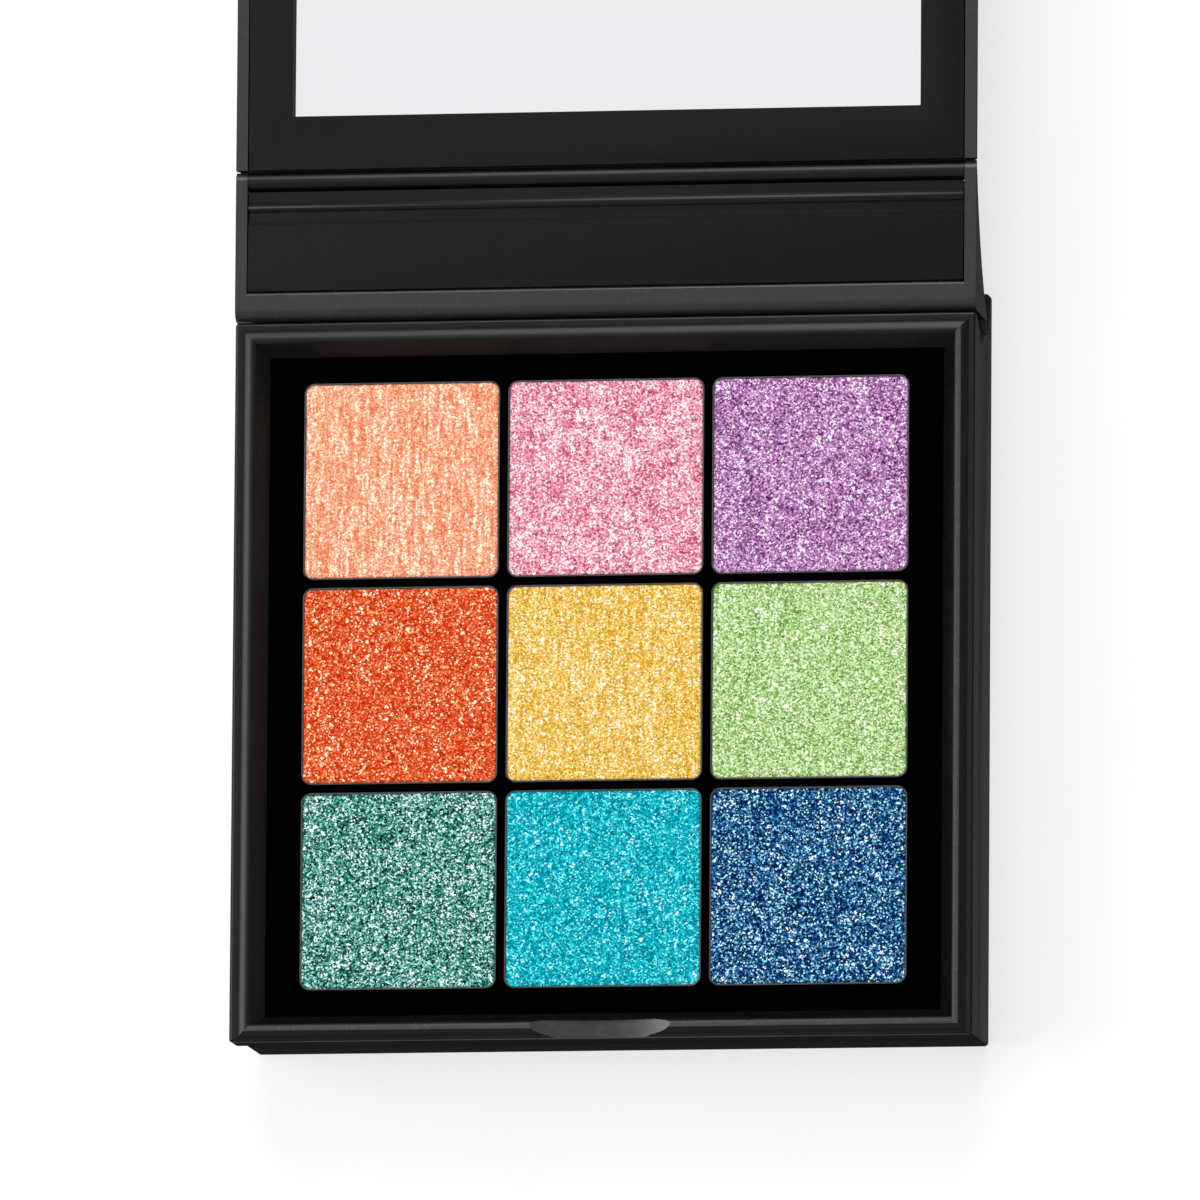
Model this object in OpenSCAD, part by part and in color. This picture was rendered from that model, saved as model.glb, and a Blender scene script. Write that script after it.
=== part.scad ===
// Eyeshadow palette: a tray of nine square pans, a folding spine and a mirrored lid.
//
// +X runs to the right, +Y towards the lid and +Z up, in millimetres. The origin is the
// centre of the base's underside. The palette is drawn open and flat: the rim of the tray,
// the inner face of the spine and the inner face of the lid are level. It closes in two
// quarter turns about X: the spine swings up behind the base, and the lid folds over the tray.

/* [Base] */
// Width of the base across its rim, and of the spine and lid
base_w = 87.0; // [84:0.1:110]
// Depth of the base from the front of its rim to the rear
base_d = 84.2; // [82:0.1:110]
// Height of the top of the rim above the table
base_h = 17.0; // [17:0.1:24]
// How far the lower body stands in from the rim
body_inset = 0.5; // [0.3:0.05:1]
// Corner radius of the base, seen from above
corner_r = 0.5; // [0.3:0.1:2]
// Thickness of the floor
floor_t = 1.5; // [1.2:0.1:2]
// Thickness of the front and side walls
wall_t = 2.0; // [1.4:0.1:2.4]
// Thickness of the rear wall, which the hinge cove hollows
rear_wall_t = 3.2; // [3:0.1:4]
// Thickness of the ribs inside the base
rib_t = 1.2; // [0.8:0.1:2]
// How far the floor reaches out behind the rim
sill_reach = 4.3; // [2:0.1:6]

/* [Rim] */
// Height of the rim's outer side
rim_side_h = 4.0; // [3.6:0.1:5]
// Width of the low shelf along the outer edge, at the sides and the rear
shelf_w = 0.8; // [0.5:0.05:1.2]
// Width of the low shelf at the front
shelf_front_w = 0.35; // [0.3:0.05:1]
// How far the shelf lies below the crest
shelf_drop = 0.45; // [0.3:0.05:0.7]
// Width of the rounded flank that rises from the shelf to the crest
flank_w = 1.3; // [1:0.05:1.6]
// Radius inside the crest
crest_r = 0.5; // [0.3:0.05:0.7]
// Run of the slope from the crest down to the deck, at the sides and the rear
slope_w = 1.85; // [1.2:0.05:2.4]
// Run of the slope at the front
slope_front_w = 1.45; // [1.2:0.05:2.4]
// Radius of the rim's outer top edge
edge_r = 0.35; // [0.2:0.05:0.6]
// Width of the thumb scoop in the front of the rim
scoop_w = 16.5; // [10:0.5:24]
// Depth of the thumb scoop
scoop_depth = 0.9; // [0.5:0.05:1.2]

/* [Pans] */
// Outer side of one square pan
pan_w = 23.0; // [20:0.1:23.2]
// Spacing of the pans from centre to centre
pan_pitch = 24.0; // [24:0.1:25]
// Corner radius of a pan
pan_r = 1.2; // [0.8:0.1:3]
// Height of a pan
pan_h = 3.2; // [2.5:0.1:4]
// Wall thickness of a pan
pan_wall_t = 0.15; // [0.15:0.05:0.4]
// How far the powder lies below the rim of its pan
powder_drop = 0.05; // [0.05:0.01:0.5]
// How far the deck lies below the top of the rim
deck_drop = 2.0; // [1.6:0.1:2.4]
// Thickness of the deck around the pans, and of the floor under them
deck_t = 1.1; // [0.8:0.1:1.5]
// Diameter of the glue dot under a pan
glue_d = 11; // [6:0.5:16]
// Thickness of the glue dot
glue_t = 0.1; // [0.05:0.05:0.2]

/* [Spine] */
// Height of the closed spine, which is the length of its inner face when open
spine_len = 15.2; // [15:0.1:15.2]
// Width of the cheeks at the spine's two ends
cheek_w = 1.35; // [1.2:0.05:2]
// Radius of the rounded edge beside the rim
spine_edge_r = 1.5; // [1.5:0.1:3]
// Width of the smooth band between the rim and the inlaid panel
spine_band_w = 3.4; // [3:0.1:5]
// Radius of the hollow under the cheeks
hollow_r = 35; // [30:1:45]
// Thickness of the cheeks at the lid end
cheek_tip_t = 0.7; // [0.6:0.05:1]
// How much thicker the spine is between its cheeks than at their outer faces
spine_extra_t = 1.2; // [0.8:0.1:1.5]
// Distance behind the rim at which the hollow under the cheeks begins
hollow_start = 4.0; // [3:0.1:5]
// How far the hollow lies below the spine's inner face at its start
hollow_drop = 6.5; // [6:0.1:7]
// Thickness of the walls of the cored spine
spine_wall_t = 1.6; // [1.2:0.1:2]
// Thickness of the inlaid panel
panel_t = 0.9; // [0.8:0.05:1.1]
// Depth of the outer relief on the cheeks
relief_t = 0.4; // [0.3:0.05:0.5]

/* [Hinges] */
// Diameter of the steel pins between the base and the spine
base_pin_d = 2.0; // [1.6:0.1:2.4]
// Diameter of the steel pins between the spine and the lid
lid_pin_d = 1.2; // [0.8:0.1:1.2]
// Running clearance around a pin, on the radius
pin_gap = 0.05; // [0.03:0.01:0.08]
// Radius of the barrels around the base pins
barrel_r = 2.6; // [2.4:0.1:2.8]
// Width of the lugs that stand on the base
lug_w = 5.0; // [4:0.1:6]
// Distance of the middle of a lug from the middle of the palette
lug_x = 35.5; // [30:0.1:36]
// Radius of the knuckle along the lid's rear edge
knuckle_r = 1.15; // [1.15:0.05:1.3]
// Clearance between parts that turn past each other
turn_gap = 0.2; // [0.15:0.05:0.3]
// Clearance between the rim and the spine, and between the spine and the knuckle
seam_gap = 0.15; // [0.1:0.01:0.2]
// Clearance at the ends of the lid's knuckle
side_gap = 0.08; // [0.05:0.01:0.15]
// Clearance between the lid's rear edge and the cheeks
lid_gap = 0.1; // [0.08:0.01:0.2]
// Width of the spine's barrel inside each lug
barrel_w = 4.0; // [3:0.1:6]
// Thickness of plastic that closes the inner end of a pin's bore
pin_stop_t = 1.0; // [0.6:0.1:2]
// How far a lid pin reaches into the knuckle
lid_pin_reach = 6.0; // [4:0.5:12]

/* [Lid] */
// Thickness of the lid
lid_t = 3.7; // [3.7:0.1:6]
// Height of the lid's upright side below its inner face
lid_side_h = 0.9; // [0.6:0.1:1.5]
// How far the lid's outer face stands in from its sides
lid_bevel = 1.1; // [0.8:0.1:2]
// Thickness of the inlaid frame around the mirror
lid_frame_t = 1.2; // [1:0.1:1.3]
// Width of the frame at the sides of the mirror
mirror_margin_x = 5.1; // [4:0.05:8]
// Width of the frame in front of the mirror and behind it
mirror_margin_y = 6.3; // [5.5:0.05:8]
// How far the mirror reaches under its frame
mirror_lap = 1.0; // [0.5:0.1:2]
// Thickness of the mirror
mirror_t = 1.3; // [1:0.1:1.3]
// Thickness of the tape behind the mirror
tape_t = 0.15; // [0.1:0.05:0.2]
// Width of the hairline between an inlaid panel and the edge around it
hairline = 0.12; // [0.08:0.01:0.2]

/* [Closure] */
// Length of a magnet, and of the steel plate that it holds
magnet_len = 8.0; // [6:0.5:10]
// Width of a magnet
magnet_w = 2.0; // [1.5:0.1:2.5]
// Thickness of a magnet
magnet_t = 1.5; // [1:0.1:1.5]
// Distance of a magnet from the hairline around the frame
magnet_inset = 0.6; // [0.3:0.1:2]
// Width of a steel plate
plate_w = 1.4; // [1:0.1:1.4]
// Thickness of a steel plate
plate_t = 0.8; // [0.5:0.1:0.8]
// Thickness of plastic left in front of a steel plate
plate_cover_t = 0.65; // [0.5:0.05:0.8]
// Distance of the magnets from the middle of the palette
magnet_x = 24; // [16:0.5:28]

/* [Hidden] */
$fn = 64;

SHADES = [
    ["coral", "#F5966B"], ["pink", "#E07F9C"], ["violet", "#A56BB5"],
    ["orange", "#E0501F"], ["gold", "#EFBE4F"], ["green", "#9CC66F"],
    ["emerald", "#2F8872"], ["turquoise", "#12A5B5"], ["navy", "#2A5E8E"]
];
COLUMNS = 3;

// Colours
SATIN_BLACK = "#303032";
MATTE_BLACK = "#232323";
GLOSS_BLACK = "#080808";
TIN = "#C9CBCE";
STEEL = "#9A9DA1";

// A gap that keeps two pieces of one body from sharing a face
fit_gap = 0.02;
// How far a cutting shape reaches past the face it cuts
over = 1;

// Base
front_y = -base_d / 2;
rear_y = base_d / 2;
body_w = base_w - 2 * body_inset;
body_d = base_d - 2 * body_inset;
body_h = base_h - rim_side_h;

// Rim: each inset is measured from the outer edge of the rim. The outer flank and the
// inner rounding meet at the crest, where both are level.
flank_r = (pow(flank_w, 2) + pow(shelf_drop, 2)) / (2 * shelf_drop);
crest_in = shelf_w + flank_w;
crest_front_in = shelf_front_w + flank_w;
rim_w = crest_in + slope_w;
rim_front_w = crest_front_in + slope_front_w;
deck_top = base_h - deck_drop;

// The angle of a slope that leaves the crest's rounding smoothly and reaches the deck after this run
function slope_angle(run) =
    let (fall = deck_drop - crest_r)
    atan2(fall, run) + asin(crest_r / norm([run, fall]));

// Deck: a plate that laps under the rim, and a block that holds the pans
deck_w = base_w - 2 * rim_w;
deck_d = base_d - rim_w - rim_front_w;
deck_y = (rim_front_w - rim_w) / 2;
deck_lap = 1.0;
well_w = pan_pitch * (COLUMNS - 1) + pan_w + 2 * deck_t;
well_gap = 0.1;
pan_floor = deck_top - pan_h;
well_floor = pan_floor - glue_t;
well_bottom = well_floor - deck_t;

// Spine: the hinge on the base is in the middle of the spine's square swing
swing_r = spine_len / 2;
hinge_y = rear_y + seam_gap + swing_r;
hinge_z = base_h - swing_r;
cheek_x = base_w / 2 - cheek_w;
cove_r = (swing_r - spine_edge_r) * sqrt(2) + spine_edge_r + turn_gap;
slot_r = barrel_r + turn_gap;
lug_r = barrel_r - turn_gap / 2;
barrel_in = lug_x - lug_w / 2 - barrel_w;

// Lid hinge
lid_hinge_y = rear_y + 2 * seam_gap + spine_len + knuckle_r;
lid_hinge_z = base_h - knuckle_r;

// Lid: it closes with its front edge level with the front of the rim
lid_rear_y = lid_hinge_y + knuckle_r + lid_gap;
closed_lid_hinge_y = hinge_y - (lid_hinge_z - hinge_z);
lid_d = base_d + (closed_lid_hinge_y - (lid_rear_y - lid_hinge_y) - rear_y);
lid_mid_y = lid_rear_y + lid_d / 2;
lid_edge_w = cheek_w;
lid_frame_w = base_w - 2 * (lid_edge_w + hairline);
lid_frame_d = lid_d - lid_edge_w - hairline;
lid_frame_y = lid_rear_y + lid_frame_d / 2;
window_w = lid_frame_w - 2 * mirror_margin_x;
window_d = lid_frame_d - 2 * mirror_margin_y;
mirror_w = window_w + 2 * mirror_lap;
mirror_d = window_d + 2 * mirror_lap;
mirror_top = base_h - lid_frame_t;

// Closure: the magnets lie over the plates when the lid is closed
magnet_front = lid_edge_w + hairline + magnet_inset;
plate_front = plate_cover_t;

// ---------------------------------------------------------------- drawing aids

// Draws a section, given in Y and Z, along X
module along_x(length) {
    rotate([90, 0, 90])
        linear_extrude(length, center = true)
            children();
}

// Draws a section, given in X and Z, along Y
module along_y(length) {
    rotate([90, 0, 0])
        linear_extrude(length, center = true)
            children();
}

// A slab with rounded corners, centred on X and Y and standing on z = 0
module rounded_slab(w, d, t, r) {
    linear_extrude(t) {
        square([w - 2 * r, d], center = true);
        square([w, d - 2 * r], center = true);
        for (x = [-1, 1], y = [-1, 1])
            translate([x * (w / 2 - r), y * (d / 2 - r)])
                circle(r);
    }
}

// The waste outside a rounded corner of radius r, for a corner at the origin
// whose metal lies towards dir on both axes
module corner_waste(r, dir) {
    difference() {
        translate([min(0, dir[0]) * r - over * max(0, dir[0]), -over * max(0, dir[1]) + min(0, dir[1]) * r])
            square(r + over);
        translate([dir[0] * r, dir[1] * r])
            circle(r);
    }
}

// A cylinder along X
module rod_x(r, length) {
    rotate([0, 90, 0])
        cylinder(r = r, h = length, center = true);
}

// Puts its children at the middle of each pan
module at_pan(index) {
    column = index % COLUMNS - 1;
    row = 1 - floor(index / COLUMNS);
    translate([column * pan_pitch, deck_y + row * pan_pitch, 0])
        children();
}

// ---------------------------------------------------------------- base

// The hollow behind the base in which the spine's edge swings
module hinge_cove() {
    cove_floor = 3;
    intersection() {
        translate([0, hinge_y, hinge_z])
            rod_x(cove_r, base_w + 2 * over);
        translate([-base_w, rear_y - rear_wall_t, cove_floor])
            cube([2 * base_w, rear_wall_t + over, base_h - cove_floor]);
    }
}

module hinge_lug(side) {
    difference() {
        translate([side * lug_x, hinge_y, 0])
            union() {
                translate([0, 0, hinge_z])
                    rod_x(lug_r, lug_w);
                translate([-lug_w / 2, -lug_r, 0])
                    cube([lug_w, 2 * lug_r, hinge_z]);
            }
        translate([side * lug_x, hinge_y, hinge_z])
            rod_x(base_pin_d / 2 + pin_gap, lug_w + 2 * over);
    }
}

// The foot that carries a lug out from under the floor
module lug_foot(side) {
    foot_w = lug_w + 3;
    translate([side * lug_x - foot_w / 2, rear_y, 0])
        cube([foot_w, hinge_y + lug_r - rear_y, floor_t]);
}

module base_shell() {
    cavity_w = body_w - 2 * wall_t;
    cavity_d = body_d - wall_t - rear_wall_t;
    cavity_y = (wall_t - rear_wall_t) / 2;
    floor_d = body_d + body_inset + sill_reach;
    rib_h = well_bottom - fit_gap;
    color(SATIN_BLACK) {
        difference() {
            union() {
                rounded_slab(body_w, body_d, body_h, corner_r);
                translate([0, (floor_d - body_d) / 2, 0])
                    rounded_slab(body_w, floor_d, floor_t, corner_r);
            }
            translate([0, cavity_y, floor_t])
                rounded_slab(cavity_w, cavity_d, body_h, corner_r);
            hinge_cove();
        }
        for (i = [-1, 1]) {
            translate([i * pan_pitch / 2 - rib_t / 2, cavity_y - cavity_d / 2, 0])
                cube([rib_t, cavity_d, rib_h]);
            translate([-cavity_w / 2, deck_y + i * pan_pitch / 2 - rib_t / 2, 0])
                cube([cavity_w, rib_t, rib_h]);
            lug_foot(i);
            hinge_lug(i);
        }
    }
}

// The rim's outer form as a section: flat shelves, and flanks that rise to two crests
module rim_form(half, shelf_a, shelf_b) {
    shelf_z = base_h - shelf_drop;
    crest_a = -half + shelf_a + flank_w;
    crest_b = half - shelf_b - flank_w;
    difference() {
        translate([-half, body_h])
            square([2 * half, shelf_z - body_h]);
        translate([-half, shelf_z])
            corner_waste(edge_r, [1, -1]);
        translate([half, shelf_z])
            corner_waste(edge_r, [-1, -1]);
    }
    translate([crest_a, body_h])
        square([crest_b - crest_a, rim_side_h]);
    for (crest = [crest_a, crest_b])
        intersection() {
            translate([crest, base_h - flank_r])
                circle(flank_r, $fn = 180);
            translate([crest - flank_w, shelf_z - edge_r])
                square([2 * flank_w, shelf_drop + edge_r]);
        }
}

// The space inside the rim as a section: from the crests down the slopes to the deck
module rim_space(half, crest_in_a, crest_in_b, rim_in_a, rim_in_b) {
    angle_a = slope_angle(rim_in_a - crest_in_a);
    angle_b = slope_angle(rim_in_b - crest_in_b);
    a = crest_in_a - half;
    b = half - crest_in_b;
    centre_z = base_h - crest_r;
    difference() {
        polygon([
            [a, base_h + over], [a, centre_z + crest_r * cos(angle_a)],
            [a + crest_r * sin(angle_a), centre_z + crest_r * cos(angle_a)],
            [rim_in_a - half, deck_top], [half - rim_in_b, deck_top],
            [b - crest_r * sin(angle_b), centre_z + crest_r * cos(angle_b)],
            [b, centre_z + crest_r * cos(angle_b)], [b, base_h + over]
        ]);
        for (crest = [a, b])
            translate([crest, centre_z])
                circle(crest_r);
    }
}

module tray_frame() {
    scoop_r = (pow(scoop_w / 2, 2) + pow(scoop_depth, 2)) / (2 * scoop_depth);
    scoop_reach = crest_front_in + crest_r;
    color(SATIN_BLACK)
        difference() {
            intersection() {
                along_y(base_d + over)
                    rim_form(base_w / 2, shelf_w, shelf_w);
                along_x(base_w + over)
                    rim_form(base_d / 2, shelf_front_w, shelf_w);
                rounded_slab(base_w, base_d, base_h, corner_r);
            }
            intersection() {
                along_y(base_d)
                    rim_space(base_w / 2, crest_in, crest_in, rim_w, rim_w);
                along_x(base_w)
                    rim_space(base_d / 2, crest_front_in, crest_in, rim_front_w, rim_w);
            }
            // Rebate for the deck, open below
            translate([0, deck_y, body_h - over])
                rounded_slab(deck_w + 2 * (deck_lap + well_gap), deck_d + 2 * (deck_lap + well_gap),
                             deck_top + fit_gap - body_h + over, corner_r);
            // Thumb scoop
            translate([0, front_y - over + (scoop_reach + over) / 2, base_h - scoop_depth + scoop_r])
                rotate([90, 0, 0])
                    cylinder(r = scoop_r, h = scoop_reach + over, center = true, $fn = 180);
            for (x = [-1, 1])
                translate([x * magnet_x - magnet_len / 2 - well_gap, front_y + plate_front - well_gap, body_h - over])
                    cube([magnet_len + 2 * well_gap, plate_w + 2 * well_gap, over + plate_t + well_gap]);
            hinge_cove();
        }
}

module pan_deck() {
    color(GLOSS_BLACK)
        difference() {
            union() {
                translate([0, deck_y, deck_top - deck_t])
                    rounded_slab(deck_w + 2 * deck_lap, deck_d + 2 * deck_lap, deck_t, corner_r);
                translate([0, deck_y, well_bottom])
                    rounded_slab(well_w, well_w, deck_top - well_bottom, corner_r);
            }
            for (i = [0 : len(SHADES) - 1])
                at_pan(i)
                    translate([0, 0, well_floor])
                        rounded_slab(pan_w + 2 * well_gap, pan_w + 2 * well_gap, pan_h + over, pan_r);
        }
}

module pan_glue_dots() {
    color("#D8D4C4")
        for (i = [0 : len(SHADES) - 1])
            at_pan(i)
                translate([0, 0, well_floor])
                    cylinder(d = glue_d, h = glue_t);
}

module pan(index) {
    inner_w = pan_w - 2 * pan_wall_t;
    color(TIN)
        at_pan(index)
            difference() {
                translate([0, 0, pan_floor])
                    rounded_slab(pan_w, pan_w, pan_h, pan_r);
                translate([0, 0, pan_floor + pan_wall_t])
                    rounded_slab(inner_w, inner_w, pan_h, pan_r - pan_wall_t);
            }
}

module powder(index) {
    inner_w = pan_w - 2 * pan_wall_t;
    powder_w = inner_w - 2 * fit_gap;
    color(SHADES[index][1])
        at_pan(index)
            translate([0, 0, pan_floor + pan_wall_t])
                rounded_slab(powder_w, powder_w, pan_h - pan_wall_t - powder_drop, pan_r - pan_wall_t);
}

module closure_plates() {
    color(STEEL)
        for (x = [-1, 1])
            translate([x * magnet_x - magnet_len / 2, front_y + plate_front, body_h + fit_gap])
                cube([magnet_len, plate_w, plate_t]);
}

// ---------------------------------------------------------------- spine

// Centre of the circle of radius r that passes below the two points a and b
function circle_below(a, b, r) =
    let (chord = b - a, half = norm(chord) / 2, rise = sqrt(r * r - half * half))
    (a + b) / 2 + rise * [chord[1], -chord[0]] / norm(chord);

// The cheek's hollow underside runs through these two points, measured from the base hinge
hollow_front = [hollow_start - (hinge_y - rear_y), swing_r - hollow_drop];
hollow_rear = [lid_hinge_y + knuckle_r - hinge_y, swing_r - cheek_tip_t];
hollow_centre = circle_below(hollow_front, hollow_rear, hollow_r);

// Solid part of the spine's section, below the level top and above the hollow
module spine_form(top, rear, extra) {
    difference() {
        intersection() {
            translate([-swing_r, -swing_r])
                square([swing_r + rear, swing_r + top]);
            union() {
                circle(swing_r);
                translate([-swing_r, 0])
                    square([swing_r + rear, swing_r]);
            }
        }
        translate(hollow_centre)
            circle(hollow_r - extra, $fn = 180);
        translate([-swing_r, swing_r])
            corner_waste(spine_edge_r, [1, -1]);
    }
}

// The block around a base pin, as a section
module barrel_form() {
    circle(barrel_r);
    polygon([
        [-swing_r + 0.5, 1], [-swing_r + 1, -barrel_r], [0, -barrel_r],
        [barrel_r, 0], [barrel_r + 1, swing_r - panel_t - 1], [-swing_r + 0.5, swing_r - spine_edge_r]
    ]);
}

module spine_shell() {
    core_top = swing_r - panel_t;
    core_w = 2 * cheek_x;
    inner_cheek_w = cheek_w - relief_t;
    lid_hinge_at = [lid_hinge_y - hinge_y, lid_hinge_z - hinge_z];
    band_edge_r = 0.4;
    panel_ledge = 0.8;
    core_start = spine_band_w + panel_ledge;
    core_cut_w = 2 * (barrel_in - spine_wall_t);
    color(SATIN_BLACK)
        difference() {
            translate([0, hinge_y, hinge_z])
                union() {
                    along_x(core_w)
                        spine_form(core_top - fit_gap, swing_r, spine_extra_t);
                    // Smooth band beside the rim, as high as the cheeks
                    along_x(core_w + 2 * fit_gap)
                        difference() {
                            intersection() {
                                spine_form(swing_r, swing_r, spine_extra_t);
                                translate([-swing_r, swing_r / 2])
                                    square([spine_band_w, swing_r]);
                            }
                            translate([spine_band_w - swing_r, swing_r])
                                corner_waste(band_edge_r, [-1, -1]);
                        }
                    for (side = [-1, 1]) {
                        // Barrel at each end
                        translate([side * (barrel_in + cheek_x) / 2, 0, 0])
                            along_x(cheek_x - barrel_in)
                                barrel_form();
                        // Cheek, in two steps
                        translate([side * (cheek_x + inner_cheek_w / 2), 0, 0])
                            along_x(inner_cheek_w) {
                                spine_form(swing_r, lid_hinge_at[0], spine_extra_t);
                                translate(lid_hinge_at)
                                    circle(knuckle_r);
                            }
                        translate([side * (base_w / 2 - relief_t / 2), 0, 0])
                            along_x(relief_t) {
                                spine_form(swing_r, lid_hinge_at[0], 0);
                                intersection() {
                                    translate(lid_hinge_at)
                                        circle(knuckle_r);
                                    translate([0, swing_r - cheek_tip_t])
                                        square([2 * swing_r, cheek_tip_t]);
                                }
                            }
                    }
                }
            // Cored middle, under the panel
            translate([0, hinge_y, hinge_z])
                along_x(core_cut_w)
                    difference() {
                        translate([-swing_r + core_start, spine_wall_t])
                            square([spine_len - core_start - spine_wall_t, swing_r]);
                        translate(hollow_centre)
                            circle(hollow_r - spine_extra_t + spine_wall_t, $fn = 180);
                    }
            for (side = [-1, 1]) {
                // Slot in which the lug turns
                translate([side * lug_x - lug_w / 2 - turn_gap, hinge_y - swing_r - over, hinge_z - swing_r - over])
                    cube([lug_w + 2 * turn_gap, swing_r + over + slot_r, swing_r + over + slot_r]);
                // Bores for the base pins and the lid pins
                translate([side * (barrel_in + pin_stop_t + cheek_x + over) / 2, hinge_y, hinge_z])
                    rod_x(base_pin_d / 2 + fit_gap, cheek_x + over - barrel_in - pin_stop_t);
                translate([side * (cheek_x + inner_cheek_w / 2), lid_hinge_y, lid_hinge_z])
                    rod_x(lid_pin_d / 2 + pin_gap, inner_cheek_w + fit_gap);
            }
        }
}

module spine_panel() {
    plate_bottom = swing_r - panel_t;
    panel_start = spine_band_w + hairline - swing_r;
    valley_at = 4.45;
    valley_w = 1.5;
    valley_depth = 0.35;
    ridge_at = 5.85;
    ridge_r = 0.75;
    land_drop = 0.2;
    valley_r = (pow(valley_w / 2, 2) + pow(valley_depth, 2)) / (2 * valley_depth);
    color(MATTE_BLACK)
        translate([0, hinge_y, hinge_z])
            along_x(2 * (cheek_x - hairline))
                difference() {
                    union() {
                        translate([panel_start, plate_bottom])
                            square([ridge_at - panel_start, panel_t]);
                        translate([0, plate_bottom])
                            square([swing_r, panel_t - land_drop]);
                        intersection() {
                            translate([ridge_at, swing_r - ridge_r])
                                circle(ridge_r);
                            translate([0, plate_bottom])
                                square(swing_r);
                        }
                    }
                    translate([valley_at, swing_r - valley_depth + valley_r])
                        circle(valley_r);
                    // Left flank of the ridge
                    difference() {
                        translate([valley_at, swing_r - valley_depth])
                            square([ridge_at - valley_at, valley_depth + over]);
                        translate([ridge_at, swing_r - ridge_r])
                            circle(ridge_r);
                    }
                }
}

module base_hinge_pin(side) {
    pin_in = barrel_in + pin_stop_t + fit_gap;
    color(STEEL)
        translate([side * (pin_in + cheek_x) / 2, hinge_y, hinge_z])
            rod_x(base_pin_d / 2, cheek_x - pin_in);
}

// ---------------------------------------------------------------- lid

// The lid's outer form as a section: upright sides, then a bevel to the outer face
module lid_form(half, square_rear = false) {
    outer_z = base_h - lid_t;
    side_z = base_h - lid_side_h;
    rear = square_rear ? [[-half, outer_z]] : [[-half, side_z], [-half + lid_bevel, outer_z]];
    polygon(concat([[-half, base_h]], rear, [[half - lid_bevel, outer_z], [half, side_z], [half, base_h]]));
}

module lid_shell() {
    knuckle_w = 2 * (cheek_x - side_gap);
    web_t = knuckle_r - fit_gap;
    recess_t = lid_t - lid_frame_t;
    recess_rear_y = lid_rear_y - lid_gap / 2;
    recess_d = lid_frame_y + lid_frame_d / 2 + hairline - recess_rear_y;
    color(SATIN_BLACK)
        difference() {
            union() {
                intersection() {
                    translate([0, lid_mid_y, 0])
                        along_y(lid_d)
                            lid_form(base_w / 2);
                    translate([0, lid_mid_y, 0])
                        along_x(base_w)
                            lid_form(lid_d / 2, square_rear = true);
                    // Rounded at the front, square beside the spine
                    translate([0, lid_mid_y, base_h - lid_t]) {
                        rounded_slab(base_w, lid_d, lid_t, corner_r);
                        translate([-base_w / 2, -lid_d / 2, 0])
                            cube([base_w, lid_d / 2, lid_t]);
                    }
                }
                translate([0, lid_hinge_y, lid_hinge_z])
                    rod_x(knuckle_r, knuckle_w);
                translate([-knuckle_w / 2, lid_hinge_y, lid_hinge_z - knuckle_r])
                    cube([knuckle_w, 4 * knuckle_r, web_t]);
            }
            // Recess for the frame, open to the rear as far as the knuckle
            translate([-lid_frame_w / 2 - hairline, recess_rear_y, base_h - lid_frame_t - fit_gap])
                cube([lid_frame_w + 2 * hairline, recess_d, lid_frame_t + over]);
            // Pocket for the mirror
            translate([0, lid_frame_y, mirror_top - mirror_t - tape_t])
                linear_extrude(recess_t)
                    square([mirror_w + 2 * well_gap, mirror_d + 2 * well_gap], center = true);
            for (side = [-1, 1]) {
                translate([side * (cheek_x - lid_pin_reach / 2), lid_hinge_y, lid_hinge_z])
                    rod_x(lid_pin_d / 2 + fit_gap, lid_pin_reach);
                translate([side * magnet_x, lid_rear_y + lid_d - magnet_front - magnet_w / 2, mirror_top - magnet_t])
                    linear_extrude(magnet_t + over)
                        square([magnet_len + 2 * well_gap, magnet_w + 2 * well_gap], center = true);
            }
        }
}

module lid_frame() {
    color(MATTE_BLACK)
        difference() {
            translate([0, lid_frame_y, mirror_top])
                linear_extrude(lid_frame_t)
                    square([lid_frame_w, lid_frame_d], center = true);
            translate([0, lid_frame_y, mirror_top - over])
                linear_extrude(lid_frame_t + 2 * over)
                    square([window_w, window_d], center = true);
        }
}

module mirror() {
    color("#ECECEE")
        translate([0, lid_frame_y, mirror_top - mirror_t])
            linear_extrude(mirror_t - fit_gap)
                square([mirror_w, mirror_d], center = true);
}

module mirror_tape() {
    tape_inset = 3;
    color("#E8E6DC")
        translate([0, lid_frame_y, mirror_top - mirror_t - tape_t])
            linear_extrude(tape_t)
                square([mirror_w - 2 * tape_inset, mirror_d - 2 * tape_inset], center = true);
}

module closure_magnets() {
    color(STEEL)
        for (side = [-1, 1])
            translate([side * magnet_x, lid_rear_y + lid_d - magnet_front - magnet_w / 2, mirror_top - magnet_t])
                linear_extrude(magnet_t - fit_gap)
                    square([magnet_len, magnet_w], center = true);
}

module lid_hinge_pin(side) {
    pin_in = cheek_x - lid_pin_reach;
    pin_out = cheek_x + cheek_w - relief_t - 5 * fit_gap;
    color(STEEL)
        translate([side * (pin_in + pin_out) / 2, lid_hinge_y, lid_hinge_z])
            rod_x(lid_pin_d / 2, pin_out - pin_in);
}

// ---------------------------------------------------------------- nodes

base_shell();
tray_frame();
pan_deck();
pan_glue_dots();
closure_plates();
for (i = [0 : len(SHADES) - 1]) {
    pan(i);
    powder(i);
}
spine_shell();
spine_panel();
base_hinge_pin(-1);  // base_hinge_pin_left
base_hinge_pin(1);  // base_hinge_pin_right
lid_shell();
lid_frame();
mirror();
mirror_tape();
closure_magnets();
lid_hinge_pin(-1);  // lid_hinge_pin_left
lid_hinge_pin(1);  // lid_hinge_pin_right
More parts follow.
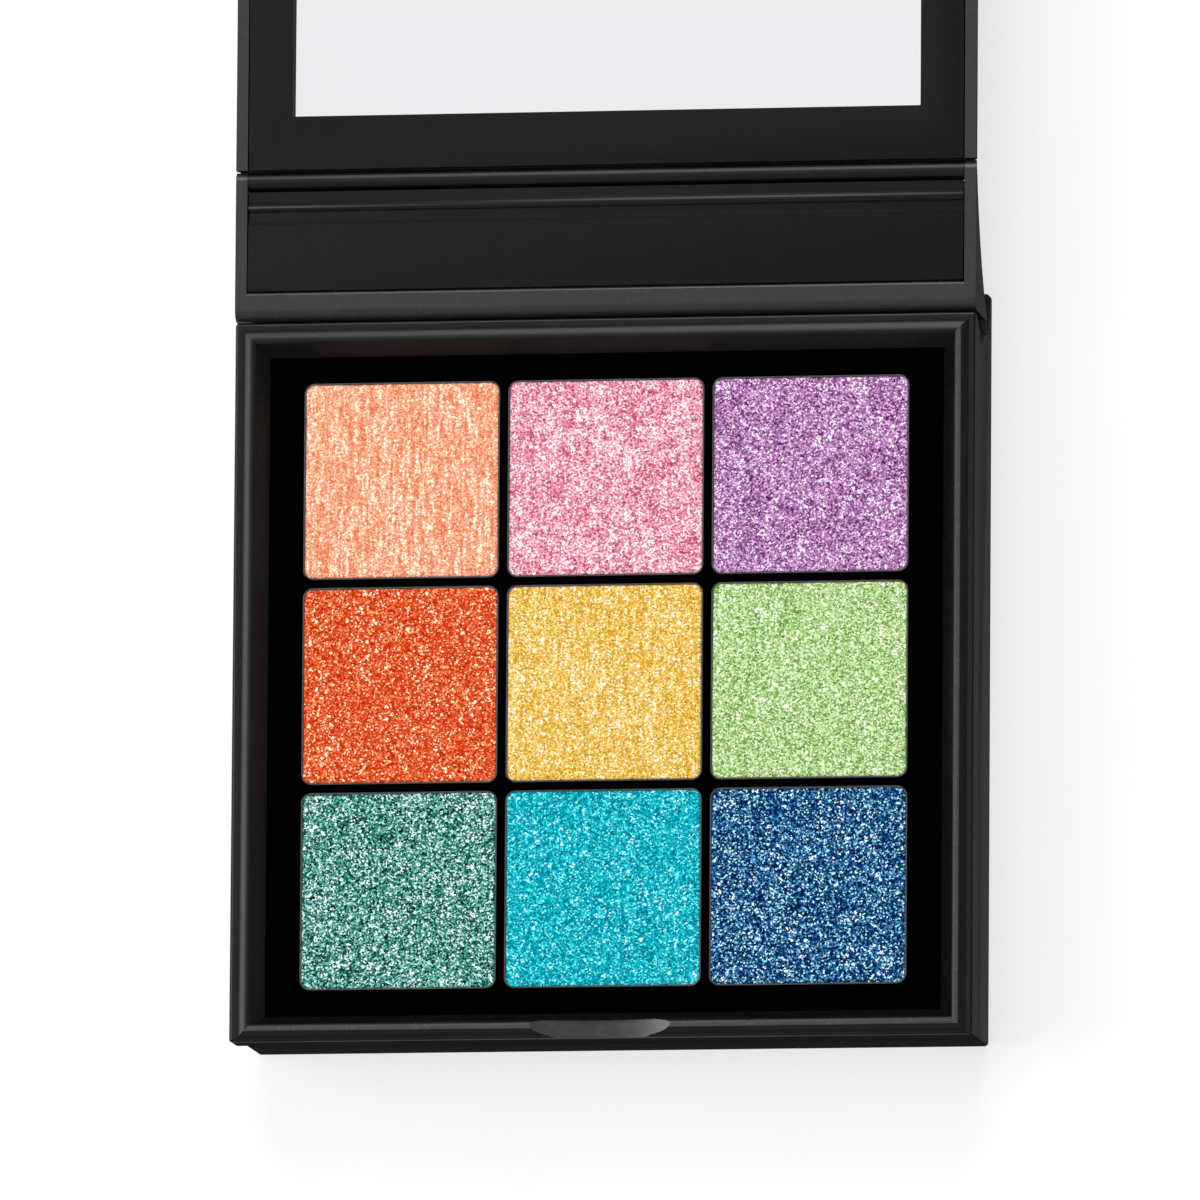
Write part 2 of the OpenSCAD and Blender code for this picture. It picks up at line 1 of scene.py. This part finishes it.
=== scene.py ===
"""Eyeshadow palette: materials, pressed glitter powders, lights and camera.

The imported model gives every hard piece. This script finishes their surfaces, builds the nine
pressed powders as grainy meshes, and lights the palette on a plain white table.
Lengths are in metres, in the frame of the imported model.
"""
import math

import bpy
import numpy as np
from mathutils import Matrix, Vector


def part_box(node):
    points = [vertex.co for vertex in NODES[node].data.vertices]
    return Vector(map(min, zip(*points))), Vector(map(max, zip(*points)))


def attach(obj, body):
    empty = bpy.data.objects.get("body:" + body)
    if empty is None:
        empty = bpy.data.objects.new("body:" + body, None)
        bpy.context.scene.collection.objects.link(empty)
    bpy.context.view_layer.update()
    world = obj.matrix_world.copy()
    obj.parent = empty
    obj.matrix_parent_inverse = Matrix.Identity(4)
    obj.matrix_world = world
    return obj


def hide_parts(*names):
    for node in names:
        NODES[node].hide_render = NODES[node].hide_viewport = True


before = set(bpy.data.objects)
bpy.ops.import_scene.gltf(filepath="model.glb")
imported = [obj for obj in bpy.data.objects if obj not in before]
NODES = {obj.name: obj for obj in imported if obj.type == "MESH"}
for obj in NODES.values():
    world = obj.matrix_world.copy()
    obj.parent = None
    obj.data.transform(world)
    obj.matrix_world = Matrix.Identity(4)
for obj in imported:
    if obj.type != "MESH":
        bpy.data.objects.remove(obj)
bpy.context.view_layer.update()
MM = 0.001

# ---------------------------------------------------------------- named values

# Camera: a long lens, leaning a little to the right and to the front of straight above.
# The image is 1200 pixels square, and AIM_PX is where the middle of the rim's plane lands in it.
IMAGE_PX = 1200
TILT_RIGHT = 9.0
TILT_FRONT = 8.0
ROLL = 0.409
CAMERA_DISTANCE = 2.5
PX_PER_MM = 8.6417
AIM_PX = (601.56, 676.4)
SENSOR_MM = 36.0

# Each shade: the colour of its grains in shadow, of its body and of its glints, as sRGB steps,
# then how strongly it gathers in clusters and in streaks along Y
SHADES = {
    "coral": ((235, 135, 95), (250, 170, 140), (255, 210, 175), 0.10, 0.95),
    "pink": ((205, 100, 125), (245, 160, 180), (255, 250, 255), 0.60, 0.30),
    "violet": ((120, 60, 120), (185, 125, 185), (255, 200, 255), 0.40, 0.20),
    "orange": ((195, 45, 0), (230, 80, 35), (250, 160, 110), 0.10, 0.10),
    "gold": ((215, 160, 35), (245, 200, 95), (255, 235, 165), 0.10, 0.50),
    "green": ((125, 165, 85), (180, 220, 145), (235, 255, 200), 0.15, 0.25),
    "emerald": ((0, 60, 50), (60, 145, 130), (180, 255, 255), 0.20, 0.30),
    "turquoise": ((0, 130, 150), (0, 170, 195), (80, 255, 255), 0.10, 0.20),
    "navy": ((0, 25, 70), (0, 65, 120), (125, 200, 255), 0.10, 0.15),
}
# How far single grains go beyond those colours, which are means over several grains
GRAIN_CONTRAST = 1.5
# Colour of a grain by its level: below 0, the share of the way from the body's colour to the shadow's,
# and above 0, to the glint's
GRAIN_STEPS = ((0.0, -1.1), (0.27, -0.5), (0.55, 0.0), (0.80, 0.40), (0.95, 1.0), (1.0, 1.7))
# How far a full share of clusters or streaks moves the level
PATTERN_SWING = 1.6
SEED = 20

# Radius of the edges of moulded pieces, in millimetres; 0 leaves them as they are
EDGE_ROUNDING = {
    "base_shell": 0.30,
    "tray_frame": 0.0,
    "spine_shell": 0.0,
    "spine_panel": 0.06,
    "lid_shell": 0.0,
    "lid_frame": 0.08,
}

# Angles in degrees: edges up to the first are shaded smooth, edges over the second are rounded
SMOOTH_UP_TO = 32
ROUND_FROM = 35

# Where the faces with a finish of their own lie, measured in from the edges of their piece. The crest
# and scoop faces get painted highlights and the cheek faces a painted sheen, as lighter copies of the
# satin plastic
CREST_FROM_RIGHT = 4.5 * MM
CREST_FROM_FRONT = 3.6 * MM
CREST_FROM_TOP = 0.1 * MM
SCOOP_HALF_WIDTH = 9.5 * MM
SCOOP_FROM_FRONT = 4.1 * MM
RIDGE_FROM_REAR = (0.95 * MM, 2.55 * MM)
CHEEK_WIDTH = 3.5 * MM
KNUCKLE_FROM_REAR = 3.6 * MM
KNUCKLE_FROM_SIDE = 1.3 * MM
# A face is upright where its normal's Z is below the first of these, open to the top above the second
# and level above the third. It looks to the front where its normal's Y is below the last
UPRIGHT_Z = 0.2
OPEN_Z = 0.3
LEVEL_Z = 0.98
FRONT_Y = -0.8

# The air's brightness as a light, and as the camera and the mirror see it; 1 is white
AIR_LIGHTING = 0.21
AIR_SEEN = 0.50
# The table's own glow as the camera and the mirror see it
TABLE_GLOW = 0.70
# Softboxes: centre, width and height in metres, and radiance, where 1 is as bright as a white surface
SOFTBOXES = {
    "overhead": ((-0.5, 0.5, 3.2), (2.6, 2.6), 0.50),
    "left": ((-1.02, 0.03, 1.10), (0.7, 0.9), 6.4),
    "rear": ((0, 1.05, 1.10), (0.7, 0.9), 6.0),
    "front": ((0.1, -0.95, 1.16), (1.4, 0.4), 0.5),
}
# The point that every softbox faces
LIT_POINT = Vector((0, 0.03, 0.01))


# ---------------------------------------------------------------- node helpers


def linear(srgb):
    """An sRGB colour of 0..255 steps as linear light, with alpha."""
    out = []
    for step in srgb:
        c = min(max(step / 255, 0.0), 1.0)
        out.append(c / 12.92 if c <= 0.04045 else ((c + 0.055) / 1.055) ** 2.4)
    return (*out, 1.0)


class Tree:
    """A material's node tree, with one short call for each node."""

    def __init__(self, name):
        self.material = bpy.data.materials.new(name)
        self.material.use_nodes = True
        self.nodes = self.material.node_tree.nodes
        self.links = self.material.node_tree.links
        self.shader = self.nodes["Principled BSDF"]

    def add(self, kind, values=None, links=None, **settings):
        node = self.nodes.new("ShaderNode" + kind)
        for key, value in settings.items():
            setattr(node, key, value)
        for key, value in (values or {}).items():
            node.inputs[key].default_value = value
        for key, socket in (links or {}).items():
            self.links.new(socket, node.inputs[key])
        return node

    def finish(self, values=None, links=None):
        for key, value in (values or {}).items():
            self.shader.inputs[key].default_value = value
        for key, socket in (links or {}).items():
            self.links.new(socket, self.shader.inputs[key])
        return self.material

    def place(self):
        return self.add("TexCoord").outputs["Object"]

    def math(self, operation, a, b):
        node = self.add("Math", operation=operation)
        for index, value in enumerate((a, b)):
            if isinstance(value, (int, float)):
                node.inputs[index].default_value = value
            else:
                self.links.new(value, node.inputs[index])
        return node.outputs["Value"]

    def noise(self, place, scale, detail=2.0, roughness=0.5):
        values = {"Scale": scale, "Detail": detail, "Roughness": roughness}
        node = self.add("TexNoise", values, {"Vector": place})
        return node.outputs["Fac"]

    def spread(self, value, low, high, start=0.0, end=1.0):
        """Maps a value from start..end to low..high."""
        limits = {"From Min": start, "From Max": end, "To Min": low, "To Max": high}
        return self.add("MapRange", limits, {"Value": value}).outputs["Result"]

    def stretched(self, place, scale):
        node = self.add("Mapping", {"Scale": scale}, {"Vector": place})
        return node.outputs["Vector"]

    def ramp(self, factor, stops):
        node = self.add("ValToRGB", links={"Fac": factor})
        elements = node.color_ramp.elements
        while len(elements) < len(stops):
            elements.new(0.5)
        for element, (position, colour) in zip(elements, stops):
            element.position = position
            element.color = colour
        return node.outputs["Color"]

    def bump(self, height, strength, distance):
        node = self.add("Bump", {"Strength": strength, "Distance": distance}, {"Height": height})
        return node.outputs["Normal"]


# ---------------------------------------------------------------- materials


def grey(value):
    return (value, value, value, 1.0)


def satin_plastic(name, dark, light, specular):
    """Moulded black plastic with a satin surface: faint mottling, soft highlights."""
    tree = Tree(name)
    place = tree.place()
    mottle = tree.noise(place, 900.0, 3.0)
    grain = tree.noise(place, 9000.0, 2.0)
    colour = tree.ramp(mottle, [(0.3, grey(dark)), (0.7, grey(light))])
    normal = tree.bump(grain, strength=0.06, distance=0.02 * MM)
    return tree.finish(
        {"Specular IOR Level": specular},
        {"Base Color": colour, "Roughness": tree.spread(mottle, 0.23, 0.30), "Normal": normal},
    )


def textured_plastic(name, specular):
    """The same plastic with the matte texture of its upright sides."""
    tree = Tree(name)
    grain = tree.noise(tree.place(), 4000.0, 3.0, 0.6)
    colour = tree.ramp(grain, [(0.35, grey(0.0090)), (0.65, grey(0.0130))])
    return tree.finish(
        {"Specular IOR Level": specular, "Roughness": 0.6},
        {"Base Color": colour, "Normal": tree.bump(grain, strength=0.2, distance=0.03 * MM)},
    )


def matte_plastic():
    """Matte black inlay with a fine, even spark-eroded texture."""
    tree = Tree("matte_black_plastic")
    place = tree.place()
    grain = tree.noise(place, 5200.0, 3.0, 0.6)
    colour = tree.ramp(grain, [(0.35, grey(0.0068)), (0.65, grey(0.0104))])
    return tree.finish(
        {"Specular IOR Level": 0.08, "Roughness": 0.6},
        {"Base Color": colour, "Normal": tree.bump(grain, strength=0.22, distance=0.04 * MM)},
    )


def gloss_plastic():
    """Glossy jet-black deck, with faint polishing haze."""
    tree = Tree("gloss_black_plastic")
    haze = tree.noise(tree.place(), 350.0, 4.0)
    colour = tree.ramp(haze, [(0.3, grey(0.0001)), (0.8, grey(0.0003))])
    rough = tree.spread(haze, 0.05, 0.11)
    return tree.finish({"Specular IOR Level": 0.005}, {"Base Color": colour, "Roughness": rough})


def pan_metal():
    """Pressed tin: bright, with fine drawing lines around the wall."""
    tree = Tree("pan_metal")
    place = tree.stretched(tree.place(), (1.0, 1.0, 12.0))
    lines = tree.noise(place, 2500.0, 2.0)
    colour = tree.ramp(lines, [(0.3, (0.050, 0.051, 0.054, 1.0)), (0.7, (0.085, 0.086, 0.090, 1.0))])
    rough = tree.spread(lines, 0.48, 0.60)
    return tree.finish({"Metallic": 1.0}, {"Base Color": colour, "Roughness": rough})


def mirror_glass():
    """Silvered mirror, with a hardly visible unevenness."""
    tree = Tree("mirror_glass")
    haze = tree.noise(tree.place(), 60.0, 2.0)
    colour = tree.ramp(haze, [(0.3, linear((236, 236, 238))), (0.7, linear((237, 237, 239)))])
    rough = tree.spread(haze, 0.004, 0.010)
    return tree.finish({"Metallic": 1.0}, {"Base Color": colour, "Roughness": rough})


def plain_metal(name, dark, light, rough_from, rough_to):
    """Ground or plated metal with fine scratches along X."""
    tree = Tree(name)
    place = tree.stretched(tree.place(), (0.2, 3.0, 3.0))
    scratches = tree.noise(place, 3000.0, 3.0)
    colour = tree.ramp(scratches, [(0.3, grey(dark)), (0.7, grey(light))])
    rough = tree.spread(scratches, rough_from, rough_to)
    return tree.finish({"Metallic": 1.0}, {"Base Color": colour, "Roughness": rough})


def paper_like(name, dark, light):
    """Pale tape or dried glue, mottled and matte."""
    tree = Tree(name)
    mottle = tree.noise(tree.place(), 1500.0, 4.0)
    colour = tree.ramp(mottle, [(0.3, dark), (0.7, light)])
    return tree.finish({"Roughness": 0.75, "Specular IOR Level": 0.2}, {"Base Color": colour})


def glitter_powder(name, shadow, body, glint, clusters, streaks):
    """Pressed glitter: fine flakes, each at its own brightness, gathered in clusters or streaks."""
    grain_size = 0.175 * MM
    cluster_size = 1.3 * MM
    streak_width = 0.36 * MM
    chip_size = 0.60 * MM
    chip_share = 0.06
    tree = Tree("powder_" + name)
    place = tree.place()
    flakes = tree.add("TexVoronoi", {"Scale": 1 / grain_size}, {"Vector": place}, feature="F1")
    shares = tree.add("SeparateColor", links={"Color": flakes.outputs["Color"]})
    flake, sparkle = shares.outputs["Red"], shares.outputs["Green"]
    cluster = tree.noise(place, 1 / cluster_size, 3.0, 0.6)
    streak = tree.noise(tree.stretched(place, (1.0, 0.11, 1.0)), 1 / streak_width, 2.0, 0.5)
    level = flake
    for pattern, share in ((cluster, clusters), (streak, streaks)):
        swing = tree.math("MULTIPLY", tree.math("SUBTRACT", pattern, 0.5), share * PATTERN_SWING)
        level = tree.math("ADD", level, swing)
    # Here and there a larger chip, painted brighter towards the glint colour: a painted glint
    chips = tree.add("TexVoronoi", {"Scale": 1 / chip_size}, {"Vector": place}, feature="F1")
    chosen = tree.add("SeparateColor", links={"Color": chips.outputs["Color"]}).outputs["Blue"]
    chip_glint = tree.spread(chips.outputs["Distance"], 0.55, 0.0, start=0.18, end=0.50)
    chip_glint = tree.math("MULTIPLY", chip_glint, tree.math("GREATER_THAN", chosen, 1 - chip_share))
    level = tree.math("ADD", level, chip_glint)
    stops = []
    for position, share in GRAIN_STEPS:
        share *= GRAIN_CONTRAST
        end = shadow if share < 0 else glint
        stops.append((position, linear([m + abs(share) * (e - m) for m, e in zip(body, end)])))
    colour = tree.ramp(level, stops)
    # A few flakes lie flat and shine
    rough = tree.spread(sparkle, 0.62, 0.22, start=0.86)
    normal = tree.bump(flake, strength=0.3, distance=0.05 * MM)
    return tree.finish(
        {"Specular IOR Level": 0.008},
        {"Base Color": colour, "Roughness": rough, "Normal": normal},
    )


# ---------------------------------------------------------------- pressed powders


def rounded_square_point(u, v, half, radius):
    """Moves a point of a square grid so that the square's corners become round."""
    inner = half - radius
    a = np.clip((np.abs(u) - inner) / radius, 0, None)
    b = np.clip((np.abs(v) - inner) / radius, 0, None)
    corner = (a > 0) & (b > 0)
    x = np.where(corner, inner + radius * a * np.sqrt(1 - b * b / 2), np.abs(u))
    y = np.where(corner, inner + radius * b * np.sqrt(1 - a * a / 2), np.abs(v))
    return np.sign(u) * x, np.sign(v) * y


def smooth(values, rounds):
    """Averages a grid with its neighbours."""
    for _ in range(rounds):
        padded = np.pad(values, 1, mode="edge")
        beside = padded[:-2, 1:-1] + padded[2:, 1:-1] + padded[1:-1, :-2] + padded[1:-1, 2:]
        values = (beside + 2 * values) / 6
    return values


def powder_mesh(name, low, high, rng):
    """A pressed block with a grainy top, softly rounded along its edges."""
    cells = 148
    corner_radius = 0.95 * MM
    edge_drop = 0.07 * MM
    edge_run = 0.35 * MM
    grain_height = 0.030 * MM
    swell_height = 0.05 * MM
    half = (high.x - low.x) / 2
    line = np.linspace(-half, half, cells + 1)
    u, v = np.meshgrid(line, line)
    x, y = rounded_square_point(u, v, half, corner_radius)
    inset = half - np.maximum(np.abs(u), np.abs(v))
    rounding = np.clip(1 - inset / edge_run, 0, 1)
    grain = smooth(rng.standard_normal(u.shape), 1)
    swell = smooth(rng.standard_normal(u.shape), 60)
    grain = grain / np.abs(grain).max() * grain_height
    swell = swell / np.abs(swell).max() * swell_height
    z = high.z - edge_drop * rounding**2 + grain - swell - grain_height
    middle = (low + high) / 2
    top = np.stack([x + middle.x, y + middle.y, z], -1).reshape(-1, 3)
    index = np.arange((cells + 1) ** 2).reshape(cells + 1, cells + 1)
    corners = [index[:-1, :-1], index[:-1, 1:], index[1:, 1:], index[1:, :-1]]
    faces = np.stack(corners, -1).reshape(-1, 4).tolist()
    ring = np.concatenate([index[0, :-1], index[:-1, -1], index[-1, :0:-1], index[:0:-1, 0]])
    base = top[ring].copy()
    base[:, 2] = low.z
    start = len(top)
    count = len(ring)
    for k in range(count):
        after = (k + 1) % count
        faces.append([int(ring[after]), int(ring[k]), start + k, start + after])
    faces.append([start + k for k in range(count)][::-1])
    mesh = bpy.data.meshes.new(name)
    mesh.from_pydata(np.concatenate([top, base]).tolist(), [], faces)
    mesh.polygons.foreach_set("use_smooth", [True] * (cells * cells) + [False] * (count + 1))
    mesh.update()
    piece = bpy.data.objects.new(name, mesh)
    bpy.context.scene.collection.objects.link(piece)
    return piece


def make_powders():
    for number, (name, look) in enumerate(SHADES.items()):
        node = "powder_" + name
        low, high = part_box(node)
        rng = np.random.default_rng(SEED + number)
        piece = powder_mesh("pressed_" + name, Vector(low), Vector(high), rng)
        piece.data.materials.append(glitter_powder(name, *look))
        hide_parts(node)
        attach(piece, "base")


# ---------------------------------------------------------------- hard pieces


def smooth_by_angle():
    """A geometry group that shades smooth across all but the sharp edges."""
    group = bpy.data.node_groups.new("smooth_by_angle", "GeometryNodeTree")
    group.interface.new_socket("Geometry", in_out="INPUT", socket_type="NodeSocketGeometry")
    group.interface.new_socket("Geometry", in_out="OUTPUT", socket_type="NodeSocketGeometry")
    add = group.nodes.new
    start, end = add("NodeGroupInput"), add("NodeGroupOutput")
    faces, edges = add("GeometryNodeSetShadeSmooth"), add("GeometryNodeSetShadeSmooth")
    edges.domain = "EDGE"
    angle, sharp = add("GeometryNodeInputMeshEdgeAngle"), add("FunctionNodeCompare")
    sharp.operation = "GREATER_THAN"
    sharp.inputs["B"].default_value = math.radians(SMOOTH_UP_TO)
    edges.inputs["Shade Smooth"].default_value = False
    link = group.links.new
    link(start.outputs[0], faces.inputs["Geometry"])
    link(faces.outputs[0], edges.inputs["Geometry"])
    link(angle.outputs["Unsigned Angle"], sharp.inputs["A"])
    link(sharp.outputs[0], edges.inputs["Selection"])
    link(edges.outputs[0], end.inputs[0])
    return group


def soften(piece, width, smoother):
    """Rounds the piece's sharp edges a little, as moulding does."""
    if width:
        weld = piece.modifiers.new("weld", "WELD")
        weld.merge_threshold = 0.0005 * MM
        flatten = piece.modifiers.new("flatten", "DECIMATE")
        flatten.decimate_type = "DISSOLVE"
        flatten.angle_limit = math.radians(0.3)
        bevel = piece.modifiers.new("bevel", "BEVEL")
        bevel.width = width
        bevel.segments = 2
        bevel.limit_method = "ANGLE"
        bevel.angle_limit = math.radians(ROUND_FROM)
        bevel.use_clamp_overlap = True
    rounding = piece.modifiers.new("smooth", "NODES")
    rounding.node_group = smoother


def use_on_faces(piece, material, chosen):
    """Gives some of the piece's faces a material of their own."""
    piece.data.materials.append(material)
    index = len(piece.data.materials) - 1
    for face in piece.data.polygons:
        if chosen(face, [piece.data.vertices[v].co for v in face.vertices]):
            face.material_index = index


def edges_of(node):
    """The low and the high corner of a piece's box."""
    return [Vector(corner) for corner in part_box(node)]


RIM_LOW, RIM_HIGH = edges_of("tray_frame")
PANEL_HIGH = edges_of("spine_panel")[1]
SPINE_HIGH = edges_of("spine_shell")[1]
LID_LOW, LID_HIGH = edges_of("lid_shell")


def is_upright(face, _corners):
    return abs(face.normal.z) < UPRIGHT_Z


def is_front(face, _corners):
    """An upright face that looks to the front."""
    return face.normal.y < FRONT_Y and abs(face.normal.z) < UPRIGHT_Z


def is_crest(face, corners):
    """A level face on top of the rim, at the right or at the front, which gets a painted highlight."""
    at_right = all(c.x > RIM_HIGH.x - CREST_FROM_RIGHT for c in corners)
    at_front = all(c.y < RIM_LOW.y + CREST_FROM_FRONT for c in corners)
    on_top = all(c.z > RIM_HIGH.z - CREST_FROM_TOP for c in corners)
    return (at_right or at_front) and on_top and face.normal.z > LEVEL_Z


def is_scoop(face, corners):
    """A face of the finger scoop, in the middle of the rim's front edge, which gets a painted
    highlight.
    """
    in_middle = all(abs(c.x) < SCOOP_HALF_WIDTH for c in corners)
    at_front = all(c.y < RIM_LOW.y + SCOOP_FROM_FRONT for c in corners)
    return in_middle and at_front and face.normal.z > OPEN_Z


def is_ridge(_face, corners):
    """A face of the raised line along the spine panel."""
    near, far = RIDGE_FROM_REAR
    return all(PANEL_HIGH.y - far < c.y < PANEL_HIGH.y - near for c in corners)


def is_cheek(_face, corners):
    """A face of the two smooth ends of the spine, which take a painted sheen."""
    return all(abs(c.x) > SPINE_HIGH.x - CHEEK_WIDTH for c in corners)


def is_knuckle(_face, corners):
    """A face of the lid's hinge barrel."""
    at_rear = all(c.y < LID_LOW.y + KNUCKLE_FROM_REAR for c in corners)
    return at_rear and all(abs(c.x) < LID_HIGH.x - KNUCKLE_FROM_SIDE for c in corners)


def finish_hard_pieces():
    satin = satin_plastic("satin_black_plastic", 0.0030, 0.0045, 0.21)
    # A lighter copy of the satin plastic: a painted sheen for the lid's shell and the spine's cheeks
    painted_sheen_satin = satin_plastic("painted_sheen_satin_plastic", 0.0185, 0.0225, 0.35)
    # A lighter copy of the satin plastic: a painted highlight on the finger scoop
    scoop_painted_highlight = satin_plastic("scoop_painted_highlight_plastic", 0.0140, 0.0300, 0.42)
    # A much lighter copy of the satin plastic: a painted highlight along the rim's crest
    crest_painted_highlight = satin_plastic("crest_painted_highlight_plastic", 0.0300, 0.0420, 0.50)
    matte, gloss = matte_plastic(), gloss_plastic()
    side_texture = textured_plastic("textured_side_plastic", 0.022)
    front_texture = textured_plastic("textured_front_plastic", 0.001)
    tin, glass = pan_metal(), mirror_glass()
    steel = plain_metal("pin_steel", 0.30, 0.42, 0.22, 0.36)
    nickel = plain_metal("magnet", 0.45, 0.58, 0.16, 0.28)
    tape = paper_like("foam_tape", (0.66, 0.64, 0.58, 1.0), (0.76, 0.74, 0.68, 1.0))
    glue = paper_like("pan_glue", (0.58, 0.52, 0.40, 1.0), (0.70, 0.64, 0.52, 1.0))
    finishes = {
        "base_shell": satin,
        "tray_frame": satin,
        "spine_shell": satin,
        # The lid's shell takes the lighter satin, a painted sheen
        "lid_shell": painted_sheen_satin,
        "spine_panel": matte,
        "lid_frame": matte,
        "pan_deck": gloss,
        "mirror": glass,
        "mirror_tape": tape,
        "pan_glue_dots": glue,
        "closure_magnets": nickel,
        "closure_plates": steel,
    }
    for name in NODES:
        if name.startswith("pan_") and name not in finishes:
            finishes[name] = tin
        if "hinge_pin" in name:
            finishes[name] = steel
    for name, material in finishes.items():
        piece = NODES[name]
        piece.data.materials.clear()
        piece.data.materials.append(material)
    # The spine's cheeks take the lighter satin, a painted sheen
    use_on_faces(NODES["spine_shell"], painted_sheen_satin, is_cheek)
    use_on_faces(NODES["spine_panel"], satin, is_ridge)
    use_on_faces(NODES["lid_shell"], satin, is_knuckle)
    # The rim's crest takes a lighter satin, a painted highlight
    use_on_faces(NODES["tray_frame"], crest_painted_highlight, is_crest)
    # The finger scoop takes a lighter satin, a painted highlight
    use_on_faces(NODES["tray_frame"], scoop_painted_highlight, is_scoop)
    for name in ("base_shell", "tray_frame", "spine_shell", "lid_shell"):
        use_on_faces(NODES[name], side_texture, is_upright)
        use_on_faces(NODES[name], front_texture, is_front)
    smoother = smooth_by_angle()
    for name, width in EDGE_ROUNDING.items():
        soften(NODES[name], width * MM, smoother)


# ---------------------------------------------------------------- stage


def make_world(lighting, seen):
    """Grey studio air, with a thin white band at the horizon that keeps the background white."""
    world = bpy.data.worlds.new("studio")
    world.use_nodes = True
    nodes, links = world.node_tree.nodes, world.node_tree.links
    path = nodes.new("ShaderNodeLightPath")
    looked_at = path.outputs["Is Camera Ray"]
    for ray in ("Is Glossy Ray", "Is Transmission Ray"):
        either = nodes.new("ShaderNodeMath")
        either.operation = "MAXIMUM"
        links.new(looked_at, either.inputs[0])
        links.new(path.outputs[ray], either.inputs[1])
        looked_at = either.outputs["Value"]
    air = nodes.new("ShaderNodeMapRange")
    for key, value in {"To Min": lighting, "To Max": seen}.items():
        air.inputs[key].default_value = value
    links.new(looked_at, air.inputs["Value"])
    height = nodes.new("ShaderNodeSeparateXYZ")
    band = nodes.new("ShaderNodeMapRange")
    for key, value in {"From Min": 0.04, "From Max": 0.07, "To Min": 1.0}.items():
        band.inputs[key].default_value = value
    links.new(nodes.new("ShaderNodeTexCoord").outputs["Generated"], height.inputs["Vector"])
    links.new(height.outputs["Z"], band.inputs["Value"])
    links.new(air.outputs["Result"], band.inputs["To Max"])
    links.new(band.outputs["Result"], nodes["Background"].inputs["Strength"])
    nodes["Background"].inputs["Color"].default_value = grey(1.0)
    bpy.context.scene.world = world


def make_table():
    """A plain white table that keeps the palette's shadow."""
    size = 6.0
    mesh = bpy.data.meshes.new("table")
    outline = [(-size, -size, 0), (size, -size, 0), (size, size, 0), (-size, size, 0)]
    mesh.from_pydata(outline, [], [(0, 1, 2, 3)])
    table = bpy.data.objects.new("table", mesh)
    bpy.context.scene.collection.objects.link(table)
    tree = Tree("table_white")
    mottle = tree.noise(tree.place(), 40.0, 2.0)
    colour = tree.ramp(mottle, [(0.3, grey(0.35)), (0.7, grey(0.36))])
    path = tree.add("LightPath")
    seen = tree.math("MAXIMUM", path.outputs["Is Camera Ray"], path.outputs["Is Glossy Ray"])
    seen = tree.math("MAXIMUM", seen, path.outputs["Is Transmission Ray"])
    glow = tree.math("MULTIPLY", seen, TABLE_GLOW)
    table.data.materials.append(
        tree.finish(
            {"Roughness": 0.9, "Specular IOR Level": 0.0, "Emission Color": grey(1.0)},
            {"Base Color": colour, "Emission Strength": glow},
        )
    )


def add_softbox(name, centre, size, radiance):
    """A rectangular lamp that faces the palette."""
    light = bpy.data.lights.new(name, "AREA")
    light.shape = "RECTANGLE"
    light.size, light.size_y = size
    light.energy = radiance * math.pi * size[0] * size[1]
    lamp = bpy.data.objects.new(name, light)
    lamp.location = centre
    lamp.rotation_mode = "QUATERNION"
    lamp.rotation_quaternion = (LIT_POINT - lamp.location).to_track_quat("-Z", "Y")
    bpy.context.scene.collection.objects.link(lamp)


def make_lights():
    for name, (centre, size, radiance) in SOFTBOXES.items():
        add_softbox(name, Vector(centre), size, radiance)


def make_camera():
    """Looks at the rim's plane from above, leaning right and forward."""
    right_lean, front_lean = math.radians(TILT_RIGHT), math.radians(TILT_FRONT)
    back = Vector((math.sin(right_lean), -math.sin(front_lean) * math.cos(right_lean),
                   math.cos(front_lean) * math.cos(right_lean)))
    right = Vector((0, 1, 0)).cross(back).normalized()
    up = back.cross(right)
    roll = math.radians(ROLL)
    right, up = (
        math.cos(roll) * right + math.sin(roll) * up,
        math.cos(roll) * up - math.sin(roll) * right,
    )
    rim_top = Vector((0, 0, RIM_HIGH.z))
    middle_px = IMAGE_PX / 2
    pixel = MM / PX_PER_MM
    target = rim_top + right * (middle_px - AIM_PX[0]) * pixel + up * (AIM_PX[1] - middle_px) * pixel
    data = bpy.data.cameras.new("camera")
    data.sensor_width = SENSOR_MM
    data.lens = SENSOR_MM * CAMERA_DISTANCE / (IMAGE_PX / PX_PER_MM * MM)
    data.clip_start, data.clip_end = 0.1, 20.0
    camera = bpy.data.objects.new("camera", data)
    turn = Matrix((right, up, back)).transposed().to_4x4()
    camera.matrix_world = Matrix.Translation(target + back * CAMERA_DISTANCE) @ turn
    bpy.context.scene.collection.objects.link(camera)
    bpy.context.scene.camera = camera


make_camera()
make_world(AIR_LIGHTING, AIR_SEEN)
make_table()
make_lights()
finish_hard_pieces()
make_powders()
bpy.context.scene.view_settings.view_transform = "Standard"
